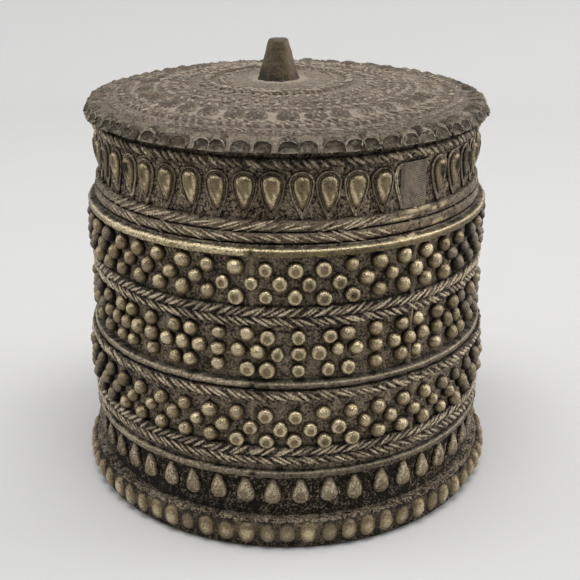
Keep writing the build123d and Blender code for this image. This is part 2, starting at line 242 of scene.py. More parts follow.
def spunPiece(name, outline, steps, closed=False, arc=2 * math.pi, startAngle=0.0):
    # A section of radii and heights, spun round the upright axis. A closed one ends where it starts.
    points = [(radius, 0, height) for radius, height in outline]
    piece = drawChain(points + points[:1] if closed else points)
    if startAngle:
        bpy.ops.transform.rotate(value=-startAngle, orient_axis="Z", center_override=(0, 0, 0))
    bpy.ops.mesh.spin(steps=steps, angle=arc, center=(0, 0, 0), axis=(0, 0, -1))
    selectAll()
    bpy.ops.mesh.remove_doubles(threshold=1e-6)
    bpy.ops.mesh.normals_make_consistent(inside=False)
    endEdit()
    return rename(piece, name)


def denser(outline, spacing):  # more points along a drawn section
    points = [outline[0]]
    for (radius, height), (lastRadius, lastHeight) in zip(outline[1:], outline[:-1]):
        across, up = radius - lastRadius, height - lastHeight
        parts = max(1, round(math.hypot(across, up) / spacing))
        for part in range(1, parts + 1):
            along = part / parts
            points.append((lastRadius + across * along, lastHeight + up * along))
    return points


def makeSeed(name, halves, spot, lean, outward, tones, rings=8):
    # A stretched ball laid slantwise, whose relief runs from its waist to its crest.
    seed = newBall(name, 8, rings, radius=1)
    seed.data.transform(Matrix.Diagonal((*halves, 1)))
    smooth(seed)
    side = "XYZ".index(outward)
    waist, crest = tones
    paint(seed, lambda co: waist + (crest - waist) * max(0.0, co[side] / halves[side]))
    seed.data.transform(Matrix.Translation(spot) @ Matrix.Rotation(math.radians(lean), 4, outward))
    return seed


def plainCore(piece, relief):  # what lies under a ring of copies, in one even tone
    smooth(piece)
    paint(piece, lambda co: relief)
    paint(piece, lambda co: 0.5, "tone")
    return piece


# Materials

def addNode(tree, kind, **settings):
    node = tree.nodes.new(kind)
    for key, value in settings.items():
        setattr(node, key, value)
    return node


def feed(tree, node, values):  # each a number, a colour or the output of another node
    for key, value in values.items():
        if isinstance(value, bpy.types.NodeSocket):
            tree.links.new(value, node.inputs[key])
        else:
            node.inputs[key].default_value = (*value, 1) if isinstance(value, tuple) else value


def noiseNode(tree, coords, scale, detail, roughness=0.6):
    node = addNode(tree, "ShaderNodeTexNoise")
    feed(tree, node, {"Vector": coords, "Scale": scale, "Detail": detail, "Roughness": roughness})
    return node.outputs["Fac"]


def mathNode(tree, operation, first, second, clamp=False):
    node = addNode(tree, "ShaderNodeMath", operation=operation, use_clamp=clamp)
    feed(tree, node, {0: first, 1: second})
    return node.outputs[0]


def rangeNode(tree, value, low, high, toLow=0.0, toHigh=1.0):
    node = addNode(tree, "ShaderNodeMapRange", interpolation_type="SMOOTHSTEP")
    feed(tree, node, {0: value, 1: low, 2: high, 3: toLow, 4: toHigh})
    return node.outputs[0]


def mixColour(tree, factor, first, second):
    node = addNode(tree, "ShaderNodeMix", data_type="RGBA")
    feed(tree, node, {0: factor, 6: first, 7: second})
    return node.outputs[2]


def attributeNode(tree, name):
    return addNode(tree, "ShaderNodeAttribute", attribute_name=name).outputs["Fac"]


# The first colour below goes on low relief and in the hollows that ambient occlusion finds, as far and as
# strongly as cavity and openEdge set. In the body's brasses it is near-black and paints shade into recesses
# as well as grime; on the lid and rim it is pale dust.
brassLook = {
    "dirt": (0.016, 0.012, 0.008), "patina": (0.13, 0.105, 0.068), "rust": (0.15, 0.095, 0.06),
    "matte": (0.17, 0.142, 0.108), "scrape": (0.7, 0.56, 0.34), "bright": (0.44, 0.37, 0.22),
    "dust": (0.27, 0.24, 0.19), "dustAmount": 0.25, "rustAmount": 0.35,
    "lift": 0.0, "dirtEdge": (0.05, 0.5), "wearEdge": (0.55, 1.05), "wearNoise": 0.3, "drift": 0.6,
    "roughDirt": 0.8, "roughPatina": 0.52, "roughBright": 0.34, "metalDirt": 0.2, "metalBright": 0.92,
    "cavity": 1.0 * mm, "openEdge": (0.12, 0.7), "pits": 0.8, "grain": 0.12 * mm, "specular": 0.4,
}


def agedBrass(name, **changes):
    look = {**brassLook, **changes}
    material = bpy.data.materials.new(name)
    material.use_nodes = True
    tree = material.node_tree
    coords = addNode(tree, "ShaderNodeTexCoord").outputs["Object"]

    times, plus, less = (partial(mathNode, tree, kind) for kind in ("MULTIPLY", "ADD", "SUBTRACT"))
    ranged = partial(rangeNode, tree)
    noise = partial(noiseNode, tree, coords)

    broad = noise(90, 3.0)
    middle = ranged(noise(650, 4.0), 0.3, 0.7)
    fine = ranged(noise(2400, 4.0, 0.7), 0.32, 0.68)

    # relief holds wear and grime, and on some pieces painted highlights and painted shade
    worn = plus(attributeNode(tree, "relief"), look["lift"])
    tone = attributeNode(tree, "tone")
    mottle = look["wearNoise"]
    for source, amount in ((middle, mottle * 0.45), (fine, mottle), (tone, 0.38), (broad, look["drift"])):
        worn = plus(worn, times(less(source, 0.5), amount))
    # Ambient occlusion moves recesses toward the low-relief colour and keeps worn brightness out of them:
    # painted shade in the body's brasses, pale dust on the lid and rim.
    hollow = addNode(tree, "ShaderNodeAmbientOcclusion", samples=6)
    feed(tree, hollow, {"Distance": look["cavity"]})
    opened = ranged(hollow.outputs["AO"], *look["openEdge"])

    clean = times(ranged(worn, *look["dirtEdge"]), opened)
    rubbed = times(ranged(worn, *look["wearEdge"]), opened)
    rusty = times(ranged(noise(160, 2.0), 0.5, 0.68), look["rustAmount"])
    # a low tone turns the colour more matte; the pieces at the sides get low tones, partly as painted shade
    matte = ranged(tone, 0.25, -0.35, 0.0, 0.75)
    skin = mixColour(tree, rusty, look["patina"], look["rust"])
    skin = mixColour(tree, matte, skin, look["matte"])
    colour = mixColour(tree, clean, look["dirt"], skin)
    colour = mixColour(tree, rubbed, colour, look["bright"])

    scrape = times(attributeNode(tree, "scrape"), ranged(middle, 0.2, 0.45))
    colour = mixColour(tree, scrape, colour, look["scrape"])

    upward = addNode(tree, "ShaderNodeSeparateXYZ")
    feed(tree, upward, {0: addNode(tree, "ShaderNodeTexCoord").outputs["Normal"]})
    settled = times(ranged(upward.outputs["Z"], 0.2, 0.95), ranged(middle, 0.3, 0.8))
    settled = times(settled, look["dustAmount"])
    colour = mixColour(tree, settled, colour, look["dust"])

    metal = ranged(clean, 0.0, 1.0, look["metalDirt"], look["metalBright"])
    metal = times(metal, less(1.0, settled), True)
    metal = times(metal, ranged(matte, 0.0, 1.0, 1.0, 0.4))
    rough = ranged(rubbed, 0.0, 1.0, look["roughPatina"], look["roughBright"])
    rough = plus(rough, times(less(1.0, clean), look["roughDirt"] - look["roughPatina"]))
    rough = plus(rough, times(less(fine, 0.5), 0.35))
    rough = plus(rough, times(settled, 0.3), True)

    bump = addNode(tree, "ShaderNodeBump")
    height = plus(fine, times(middle, 1.2))
    feed(tree, bump, {"Strength": look["pits"], "Distance": look["grain"], "Height": height})
    feed(tree, tree.nodes["Principled BSDF"], {
        "Base Color": colour, "Metallic": metal, "Roughness": rough, "Normal": bump.outputs["Normal"],
        "Specular IOR Level": look["specular"],
    })
    return material


def finishPiece(piece, body, material, node):
    piece.data.materials.clear()
    piece.data.materials.append(material)
    for name in ("relief", "tone"):
        if name not in piece.data.attributes:
            paint(piece, lambda co: 0.5, name)
    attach(piece, body)
    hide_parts(node)


wallBrass = agedBrass(
    "wallBrass", patina=(0.295, 0.235, 0.168), bright=(0.54, 0.45, 0.305), dustAmount=0.12,
    wearEdge=(0.5, 1.0), wearNoise=0.95, metalBright=0.8, roughPatina=0.38, cavity=2.0 * mm,
    openEdge=(0.2, 0.75), grain=0.2 * mm, specular=0.2)
insideBrass = agedBrass("insideBrass", lift=0.35, dustAmount=0.2)
pelletBrass = agedBrass(
    "pelletBrass", patina=(0.245, 0.19, 0.108), bright=(0.61, 0.51, 0.318), dustAmount=0.06,
    wearNoise=0.26, wearEdge=(0.6, 1.05), roughPatina=0.28, roughBright=0.2, cavity=1.4 * mm,
    openEdge=(0.3, 0.9), grain=0.05 * mm, specular=0.25)
dropBrass = agedBrass(
    "dropBrass", patina=(0.28, 0.218, 0.14), bright=(0.62, 0.52, 0.35), dustAmount=0.08,
    wearNoise=0.65, wearEdge=(0.6, 1.1), roughPatina=0.38, roughBright=0.26, metalBright=0.88,
    openEdge=(0.3, 0.85), specular=0.25)
ropeBrass = agedBrass(
    "ropeBrass", patina=(0.25, 0.2, 0.135), bright=(0.66, 0.555, 0.385), dustAmount=0.15,
    cavity=0.7 * mm, wearNoise=0.6, wearEdge=(0.6, 1.05), roughPatina=0.38, roughBright=0.26,
    metalBright=0.82, openEdge=(0.25, 0.8), specular=0.25)
bandBrass = agedBrass(
    "bandBrass", patina=(0.22, 0.175, 0.09), bright=(0.74, 0.625, 0.39), wearEdge=(0.6, 1.0),
    roughPatina=0.3, roughBright=0.22, grain=0.07 * mm)
wireBrass = agedBrass(
    "wireBrass", patina=(0.21, 0.172, 0.118), bright=(0.56, 0.475, 0.325), wearEdge=(0.65, 1.1),
    wearNoise=0.6, roughPatina=0.4, roughBright=0.28, grain=0.16 * mm)
lidBrass = agedBrass(
    "lidBrass", dirt=(0.38, 0.32, 0.244), patina=(0.08, 0.062, 0.043), bright=(0.44, 0.37, 0.265),
    dustAmount=0.06, metalDirt=0.0, metalBright=0.45, rustAmount=0.7, roughDirt=0.9, grain=0.16 * mm,
    wearNoise=0.34, wearEdge=(0.7, 1.1), openEdge=(0.2, 0.85), cavity=1.4 * mm, drift=0.35,
    dirtEdge=(-0.05, 0.72))
# The near-black patina of the rim also paints its arches in shade, as they face the front.
rimBrass = agedBrass(
    "rimBrass", dirt=(0.3, 0.255, 0.195), patina=(0.045, 0.034, 0.021), bright=(0.54, 0.475, 0.36),
    dust=(0.19, 0.158, 0.108), dustAmount=0.95, metalDirt=0.0, metalBright=0.5, roughDirt=0.9,
    wearEdge=(0.7, 1.1), wearNoise=0.35, cavity=0.5 * mm, openEdge=(0.1, 0.5))
knobBrass = agedBrass(
    "knobBrass", patina=(0.135, 0.106, 0.066), bright=(0.47, 0.395, 0.245), dustAmount=0.03, lift=0.05,
    wearEdge=(0.6, 1.15), roughPatina=0.42, roughBright=0.32, grain=0.05 * mm)
patchBrass = agedBrass(
    "patchBrass", patina=(0.23, 0.19, 0.142), roughPatina=0.45, dustAmount=0.1, pits=0.5)
print("materials ready")


# Box wall, foot ring and floor

wallSpec = {"segments": 400, "bore": 33.0 * mm, "spacing": 0.6 * mm}
# Seams, where the clay mould let the metal run into a crack: angle, from, to and how proud.
castingSeams = [(35.4, 17 * mm, 54 * mm, 1.0 * mm), (-9.3, 20 * mm, 58 * mm, 0.5 * mm)]
seamHalf = 0.46  # degrees
pitSpec = {"angle": -22, "height": 33.6 * mm, "reach": 36.5 * mm, "wide": 1.5 * mm, "deep": 1.4 * mm}


def wallRadius(node, rise):
    return course(node).crest - rise


def makeWall():
    low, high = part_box("box_wall")
    waistTop = between("waist_drops", "lower_plain_wire")
    middleTop = between("upper_braid_bottom_rope", "upper_braid_top_rope")
    upperTop = between("polished_band", "shoulder_rope_lower")
    shoulderTop = between("shoulder_rope_upper", "neck_drop_loops")
    tiers = [  # the wall's radius up to a height
        (wallRadius("waist_drop_loops", 0.53 * mm), waistTop),
        (wallRadius("lower_plain_wire", 1.0 * mm), between("middle_rope", "middle_plain_wire")),
        (wallRadius("middle_plain_wire", 1.7 * mm), middleTop),
        (wallRadius("polished_band", 1.3 * mm), upperTop),
        (wallRadius("shoulder_rope_lower", 1.2 * mm), shoulderTop),
        (wallRadius("neck_rope", 1.2 * mm), high.z),
    ]
    outline = []
    bottom = low.z
    for radius, top in tiers:
        outline += [(radius, bottom), (radius, top)]
        bottom = top
    bore = wallSpec["bore"]
    outline = [(bore, low.z)] + denser(outline, wallSpec["spacing"]) + [(bore, high.z)]
    wall = spunPiece("boxWall", outline, wallSpec["segments"], closed=True)
    pit = Vector((pitSpec["reach"], 0, pitSpec["height"]))
    pit.rotate(Matrix.Rotation(turnTo(pitSpec["angle"]), 3, "Z"))
    for vert in wall.data.vertices:
        if vert.co.xy.length < bore + mm:
            continue
        push = -pitSpec["deep"] * share((vert.co - pit).length, pitSpec["wide"], 0.4 * pitSpec["wide"])
        for angle, start, end, proud in castingSeams:
            if abs(fromFront(vert.co) - angle) < seamHalf and start < vert.co.z < end:
                push += proud
        vert.co.xy *= 1 + push / vert.co.xy.length
    roughen(wall, depth=0.42 * mm, grain=0.8 * mm)
    smooth(wall, 50)

    def wallRelief(co):  # worn at the front; darker at the sides, less worn there and painted as shade; painted shade in the waist and at the neck under the lid
        angle = fromFront(co)
        front = 1 - (0.45 if angle > 0 else 1.0) * shelter(angle)
        seam = min(abs(angle - seam[0]) for seam in castingSeams)
        # the waist recess is painted near-black: painted shade
        if co.z < waistTop:
            return -0.1
        # the neck under the lid is painted darker than the shoulder below it: painted shade of the lid's
        # overhang
        if co.z > shoulderTop:
            return 0.2 + 0.2 * front
        if co.z > upperTop:
            return 0.52
        return 0.18 + 0.34 * front + 0.4 * share(seam, 0.9, 0.3)

    paint(wall, wallRelief)
    finishPiece(wall, "box", wallBrass, "box_wall")


footSpec = {"inside": 31.5 * mm, "seat": 34.0 * mm, "lip": 0.5 * mm, "side": 1.67 * mm, "spacing": 0.7 * mm,
            "crown": 1.6 * mm}


def makeFoot():
    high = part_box("foot_ring")[1]
    lip = high.x - footSpec["lip"]
    side = wallRadius("foot_beads", footSpec["side"])
    inside, seat = footSpec["inside"], footSpec["seat"]
    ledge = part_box("box_floor")[0].z
    outline = [
        (inside, 0), (lip - 0.5 * mm, 0), (lip, 0.3 * mm), (lip - 0.2 * mm, 0.7 * mm), (side, 1.2 * mm),
        (side, high.z - 0.3 * mm), (side - 0.4 * mm, high.z), (seat, high.z), (seat, ledge), (inside, ledge),
    ]
    foot = spunPiece("footRing", denser(outline, footSpec["spacing"]), wallSpec["segments"], closed=True)

    def outerBand(co):
        return 1.0 if co.xy.length > seat and 1 * mm < co.z < high.z - 0.1 * mm else 0.0

    roughen(foot, depth=0.5 * mm, grain=1.3 * mm, rule=outerBand)
    smooth(foot, 50)
    crown = high.z - footSpec["crown"]
    paint(foot, lambda co: 0.32 if co.z > crown and co.xy.length > seat else 0.12)
    finishPiece(foot, "box", wallBrass, "foot_ring")


def dressHidden(node):  # a solid that shows only when the lid is off keeps its own mesh
    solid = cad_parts[node]
    solid.data.materials.clear()
    solid.data.materials.append(insideBrass)


makeWall()
makeFoot()
dressHidden("box_floor")
print("wall and foot done")


# Pellets

pelletSpec = {
    "radius": 1.35 * mm, "standoff": 0.35 * mm, "perRow": 48, "firstAngle": 2.0, "motifs": 17,
    "motifAngle": 2.9, "rosetteGap": 0.5 * mm, "wornFrom": 0.66, "wornTo": 0.4, "wornWithin": 13,
    "wornMiddle": 1, "sunk": 0.4 * mm, "spread": 1.07,
    "wornSpread": 1.1, "sag": 0.4 * mm, "dimple": 0.07 * mm,
}


def makePellet(wall, worn):
    radius = pelletSpec["radius"]
    centre = wall + pelletSpec["standoff"]
    pellet = newBall("pellet", 12, 10, radius=radius, location=(centre, 0, 0), rotation=(0, math.pi / 2, 0))
    cutBack(pellet, (wall - 0.1 * mm, 0, 0), (1, 0, 0))
    crown = centre + radius

    # Round pellets are lighter toward the crown; worn ones have a darker flat top and a lighter ring round
    # it. Both are lighter still on their upper side, which is a painted highlight.
    def relief(co):
        high = (co.x - wall) / (crown - wall)
        upper = 0.5 + 0.5 * co.z / radius
        if not worn:
            return 0.06 + high * (0.35 + 0.75 * upper)
        across = math.hypot(co.y, co.z) / radius
        if across < 0.4:
            return 0.34
        return 0.72 + 0.42 * upper if across < 0.85 else 0.9 - 0.85 * share(across, 0.85, 1.0)

    paint(pellet, relief)
    flat = centre + radius * pelletSpec["wornFrom"]
    for vert in pellet.data.vertices:
        if worn and vert.co.x > flat:
            vert.co.x = flat + (vert.co.x - flat) * pelletSpec["wornTo"]
            if math.hypot(vert.co.y, vert.co.z) < 0.2 * radius:
                vert.co.x -= pelletSpec["dimple"]
    smooth(pellet)
    return pellet, Vector((centre, 0, 0))


def pelletPlace(angle, height):
    size = 1 + vary(-0.08, 0.08)
    angle = signed(angle)
    worn = abs(angle - pelletSpec["wornMiddle"]) + vary(-6, 6) < pelletSpec["wornWithin"]
    spread = size * pelletSpec["wornSpread" if worn else "spread"]
    return {
        "worn": worn,
        "angle": turnTo(angle + vary(-0.25, 0.25)),
        "rise": height + vary(-0.16, 0.16) * mm - (pelletSpec["sag"] if worn else 0),
        "out": -pelletSpec["sunk"] * (shelter(angle) if angle > 0 else 0) * chance.random(),
        "size": (size, spread * vary(0.9, 1.08), spread * vary(0.92, 1.07)),
        "tone": duller(angle),
    }


def pelletField(node, name, places):
    field = course(node)
    reach = pelletSpec["radius"] + pelletSpec["standoff"]
    groups = []
    for worn in (True, False):
        pellet, pivot = makePellet(field.crest - reach, worn)
        groups.append(copyAround(pellet, name, [place for place in places if place["worn"] == worn], pivot))
    piece = joinPieces(groups, name)
    roughen(piece, depth=0.3 * mm, grain=0.9 * mm)
    finishPiece(piece, "box", pelletBrass, node)


def fieldRows(node):  # the heights of the three rows
    field = course(node)
    first = field.low + pelletSpec["radius"]
    pitch = (field.high - field.low - 2 * pelletSpec["radius"]) / 2
    return [first + row * pitch for row in range(3)]


def quincunx(node):
    places = []
    for row, height in enumerate(fieldRows(node)):
        for step in range(pelletSpec["perRow"]):
            angle = pelletSpec["firstAngle"] + (step + (row % 2) / 2) * 360 / pelletSpec["perRow"]
            places.append(pelletPlace(angle, height))
    return places


def rosettes(node):
    reach = wallRadius(node, pelletSpec["radius"])
    step = math.degrees((2 * pelletSpec["radius"] + pelletSpec["rosetteGap"]) / reach)
    motifPitch = 360 / pelletSpec["motifs"]
    places = []
    for motif in range(pelletSpec["motifs"]):
        column = pelletSpec["motifAngle"] + motif * motifPitch
        middle = column + motifPitch / 2
        for row, height in enumerate(fieldRows(node)):
            angles = [column, middle - step / 2, middle + step / 2]
            if row == 1:
                angles = [column, middle - step, middle + step, middle]
            places += [pelletPlace(angle, height) for angle in angles]
    return places


pelletField("lower_pellets", "lowerPellets", quincunx("lower_pellets"))
pelletField("middle_pellets", "middlePellets", rosettes("middle_pellets"))
pelletField("upper_pellets", "upperPellets", quincunx("upper_pellets"))
print("pellets done")


# Twisted and plain wires

scrapes = [  # yellow metal laid bare: from and to (degrees), height, half its width
    (27.0, 35.5, 58.9 * mm, 0.35 * mm), (33.0, 42.5, 60.0 * mm, 0.5 * mm), (42.0, 49.0, 59.4 * mm, 0.4 * mm),
    (28.5, 37.0, 55.75 * mm, 0.3 * mm), (41.5, 49.0, 56.8 * mm, 0.45 * mm),
]


def scraped(co):
    angle = fromFront(co)
    strongest = 0.0
    for start, end, height, half in scrapes:
        tilt = (angle - (start + end) / 2) * 0.02 * mm
        across = 1 - abs(co.z - height - tilt) / half
        along = min(angle - start, end - angle)
        if across > 0 and along > 0:
            strongest = max(strongest, min(1.0, across * 1.6) * min(1.0, along))
    return strongest


ropeSpec = {"strands": 154, "deep": 0.5 * mm, "coreSunk": 0.3 * mm, "coreDeep": 1.0 * mm, "edge": 0.25 * mm,
            "spacing": 0.4 * mm, "coreSteps": 260, "shoulderWear": 0.1}


def rubbedAway(angle):  # the shoulder is worn smooth at both sides of the front
    angle = signed(angle)
    left = share(angle, -52, -64) * share(angle, -112, -100)
    right = share(angle, 24, 32) * share(angle, 104, 88)
    return max(left, right, ropeSpec["shoulderWear"])


def makeRope(node, name, lean, strands=ropeSpec["strands"], worn=False, bright=1.0):
    ring = course(node)
    half = (ring.high - ring.low) / 2
    deep, edge = ropeSpec["deep"], ropeSpec["edge"]
    middle = ring.crest - deep
    slant = math.cos(math.radians(lean))
    halves = (deep, math.pi * ring.crest / strands * slant, half / slant * 1.15)
    strand = makeSeed("strand", halves, (middle, 0, 0), lean, "X", (0.05, bright))
    places = []
    for step in range(strands):
        angle = step * 360 / strands
        smoothed = rubbedAway(angle) if worn else 0.0
        places.append({
            "angle": turnTo(angle + vary(-0.6, 0.6)),
            "rise": ring.z + vary(-0.08, 0.08) * mm,
            "out": (vary(-0.16, 0.0) - 0.4 * smoothed) * mm,
            "size": (1, vary(0.7, 1.15), vary(0.82, 1.05)),
            "turn": math.radians(vary(-6, 6)),
            "tone": chance.random(),
        })
    strandRing = copyAround(strand, name, places, Vector((middle, 0, 0)))
    face = ring.crest - ropeSpec["coreSunk"]
    back = face - ropeSpec["coreDeep"]
    outline = [
        (back, ring.low), (face - edge, ring.low), (face, ring.low + edge),
        (face, ring.high - edge), (face - edge, ring.high), (back, ring.high),
    ]
    outline = denser(outline, ropeSpec["spacing"])
    core = spunPiece(name + "Core", outline, ropeSpec["coreSteps"], closed=True)
    rope = joinPieces([strandRing, plainCore(core, 0.4 if worn else 0.16)], name)
    roughen(rope, depth=0.2 * mm, grain=0.9 * mm)
    paint(rope, scraped, "scrape")
    finishPiece(rope, "box", ropeBrass, node)


wireSpec = {"width": 0.88, "points": 8, "rooted": 0.2 * mm, "steps": 360,
            "buttAngle": -9.3, "buttHalf": 0.9, "buttDeep": 0.5 * mm}


def makeWire(node, name, rise, material):
    ring = course(node)
    half = wireSpec["width"] * (ring.high - ring.low) / 2
    wall = ring.crest - rise
    root = wall - wireSpec["rooted"]
    outline = [(root, ring.low)]
    for step in range(wireSpec["points"] + 1):
        turn = math.pi * (step / wireSpec["points"] - 0.5)
        reach = rise - half * (1 - math.cos(turn)) if rise > half else rise * math.cos(turn)
        outline.append((wall + reach, ring.z + half * math.sin(turn)))
    outline.append((root, ring.high))
    wire = spunPiece(name, outline, wireSpec["steps"], closed=True)
    roughen(wire, depth=0.3 * mm, grain=1.6 * mm)
    smooth(wire, 60)
    butt = wireSpec["buttAngle"]

    def nearButt(co):
        return share(abs(fromFront(co) - butt), wireSpec["buttHalf"], 0.0)

    for vert in wire.data.vertices:  # the two ends of the wire don't quite meet
        sunk = min(wireSpec["buttDeep"] * nearButt(vert.co), max(0.0, vert.co.xy.length - wall))
        vert.co.xy *= 1 - sunk / vert.co.xy.length

    # Painted highlights: a light line high on the wire, another low on it, and a lit stretch at the left
    # front. The wire is darker at its edges and at the butt.
    def wireRelief(co):
        rise = (co.z - ring.z) / half
        shoulder = 1 - share(abs(rise - 0.7), 0.05, 0.3)
        below = 1 - share(abs(rise + 0.7), 0.05, 0.3)
        lit = share(fromFront(co), butt, butt - 1) * share(fromFront(co), -75, -55)
        edge = share(abs(rise), 1.0, 0.9)
        return 0.1 + (0.26 + 0.65 * shoulder + 0.5 * below + 0.4 * lit) * edge - 0.6 * nearButt(co)

    paint(wire, wireRelief)
    paint(wire, scraped, "scrape")
    finishPiece(wire, "box", material, node)


makeRope("lower_braid_bottom_rope", "lowerBraidBottom", 60)
makeRope("lower_braid_top_rope", "lowerBraidTop", -60)
makeRope("middle_rope", "middleRope", 60)
makeRope("upper_braid_bottom_rope", "upperBraidBottom", 60)
makeRope("upper_braid_top_rope", "upperBraidTop", -60)
makeRope("shoulder_rope_lower", "shoulderRopeLower", 68, 126, worn=True)
makeRope("shoulder_rope_upper", "shoulderRopeUpper", -72, 110, worn=True)
# the neck rope's crests are painted darker, at 0.75: painted shade under the lid's overhang
makeRope("neck_rope", "neckRope", 55, 150, bright=0.75)
makeWire("lower_plain_wire", "lowerPlainWire", 1.0 * mm, wireBrass)
makeWire("middle_plain_wire", "middlePlainWire", 1.7 * mm, wireBrass)
makeWire("polished_band", "polishedBand", 1.3 * mm, bandBrass)
print("wires done")


# Drops and their outline wires

dropSpec = {
    "perRing": 48, "patchNext": 47.0, "before": 5, "after": 41, "coveredLoop": 33.2, "drift": 0.35,
    "flatFrom": 0.78, "flatTo": 0.5, "steps": 14,
}
loopSpec = {"outerWire": 0.46 * mm, "innerWire": 0.38 * mm, "apart": 0.45 * mm, "narrowing": 0.72}
dropRings = {
    "neck": {"toward": -1, "tip": "neck_drops", "rise": 1.5 * mm, "radius": 1.5 * mm, "broad": 1.0,
             "middleTone": 0.32, "loopSunk": 0.0, "material": pelletBrass},
    "waist": {"toward": 1, "tip": "lower_plain_wire", "rise": 1.38 * mm, "radius": 1.45 * mm, "broad": 1.13,
              "middleTone": 0.55, "loopSunk": 0.4 * mm, "material": dropBrass},
}


def makeDrop(wall, radius, centre, tip, toward, middleTone):
    # A profile from the round end to the point, spun round the drop's own axis.
    length = abs(tip - centre)
    outline = [(0.0, centre - toward * radius)]
    for step in range(1, 5):
        turn = math.pi / 2 * (step / 4 - 1)
        outline.append((radius * math.cos(turn), centre + toward * radius * math.sin(turn)))
    for along, width in ((0.18, 0.97), (0.42, 0.8), (0.66, 0.56), (0.86, 0.36)):
        outline.append((radius * width, centre + toward * length * along))
    outline.append((0.0, tip))
    drop = spunPiece("drop", outline, dropSpec["steps"])
    drop.data.transform(Matrix.Translation((wall, 0, 0)))
    cutBack(drop, (wall - 0.1 * mm, 0, 0), (1, 0, 0))

    # A darker flat top, dark at the foot, and a lighter rim that is lightest toward the round end, which is
    # a painted highlight; on the neck drops that end is at the top.
    def relief(co):
        high = (co.x - wall) / radius
        if high > dropSpec["flatFrom"]:
            return middleTone
        below = share((co.z - centre) * toward, 0.0, length)
        rim = 0.75 + 0.35 * share(co.z, tip, centre) * (1 - below)
        return 0.1 + rim * share(high, 0.15, 0.6)

    paint(drop, relief)
    flat = wall + radius * dropSpec["flatFrom"]
    for vert in drop.data.vertices:
        if vert.co.x > flat:
            vert.co.x = flat + (vert.co.x - flat) * dropSpec["flatTo"]
    smooth(drop)
    return drop


def makeLoop(wall, outside, wire, centre, tip, toward):
    reach = outside - wire / 2
    loop = newMesh(
        "loop", bpy.ops.mesh.primitive_torus_add, major_segments=20, minor_segments=6,
        major_radius=reach, minor_radius=wire / 2, rotation=(0, math.pi / 2, 0))
    for vert in loop.data.vertices:  # the lower half is drawn out to a point
        down = vert.co.z * toward / reach
        if down > 0:
            vert.co.y *= 1 - loopSpec["narrowing"] * down ** 1.5
            vert.co.z = toward * down ** 0.9 * abs(tip - centre)
    loop.data.transform(Matrix.Translation((wall + wire * 0.3, 0, centre)))
    smooth(loop)
    paint(loop, lambda co: 0.15 + 0.6 * (co.x - wall) / wire)
    return loop


def neckAngles():  # the plain patch stands between the last and the first
    pitch = 360 / dropSpec["perRing"]
    angles = [pitch * (step - 0.5) for step in range(dropSpec["before"])]
    span = 360 - dropSpec["patchNext"] - pitch / 2
    for step in range(dropSpec["after"]):
        angles.append(dropSpec["patchNext"] + step * span / dropSpec["after"])
    return angles


def dropPlace(angle):
    drift = dropSpec["drift"]
    return {
        "angle": turnTo(angle + vary(-drift, drift)),
        "rise": vary(-0.12, 0.12) * mm,
        "size": (vary(0.95, 1.05), vary(0.92, 1.07), vary(0.96, 1.03)),
        "turn": math.radians(vary(-3, 3)),
        "tone": duller(angle),
    }


def makeDropRing(where, angles, covered=()):  # covered loops have no drop
    spec = dropRings[where]
    dropNode, loopNode = where + "_drops", where + "_drop_loops"
    drops, loops = course(dropNode), course(loopNode)
    toward, radius = spec["toward"], spec["radius"]
    root, point = ("low", "high") if toward > 0 else ("high", "low")
    centre = getattr(drops, root) + toward * radius
    outside = toward * (centre - getattr(loops, root))
    tip, loopTip = course(spec["tip"]).low, getattr(loops, point)
    wall = drops.crest - spec["rise"]
    places = [dropPlace(angle) for angle in angles]
    pivot = Vector((wall, 0, centre))
    drop = makeDrop(wall, radius, centre, tip, toward, spec["middleTone"])
    drop.data.transform(Matrix.Diagonal((1, spec["broad"], 1, 1)))
    ring = copyAround(drop, where + "Drops", places, pivot)
    roughen(ring, depth=0.14 * mm, grain=1.3 * mm)
    finishPiece(ring, "box", spec["material"], dropNode)
    wall -= spec["loopSunk"]
    outer = makeLoop(wall, outside, loopSpec["outerWire"], centre, loopTip, toward)
    outside -= loopSpec["apart"]
    inner = makeLoop(wall, outside, loopSpec["innerWire"], centre, (loopTip + tip) / 2, toward)
    pair = joinPieces([outer, inner], "loopPair")
    places = [{**place, "tone": chance.random()} for place in places]
    places += [dropPlace(angle) for angle in covered]
    loopRing = copyAround(pair, where + "Loops", places, pivot)
    roughen(loopRing, depth=0.12 * mm, grain=1.0 * mm)
    finishPiece(loopRing, "box", ropeBrass, loopNode)


waistAngles = [(step + 0.5) * 360 / dropSpec["perRing"] for step in range(dropSpec["perRing"])]
makeDropRing("neck", neckAngles(), [dropSpec["coveredLoop"]])
makeDropRing("waist", waistAngles)
print("drops done")


# Foot beads

beadSpec = {"count": 68, "halfWidth": 1.67 * mm, "lower": 0.6 * mm, "higher": 0.2 * mm, "bed": 0.75 * mm}


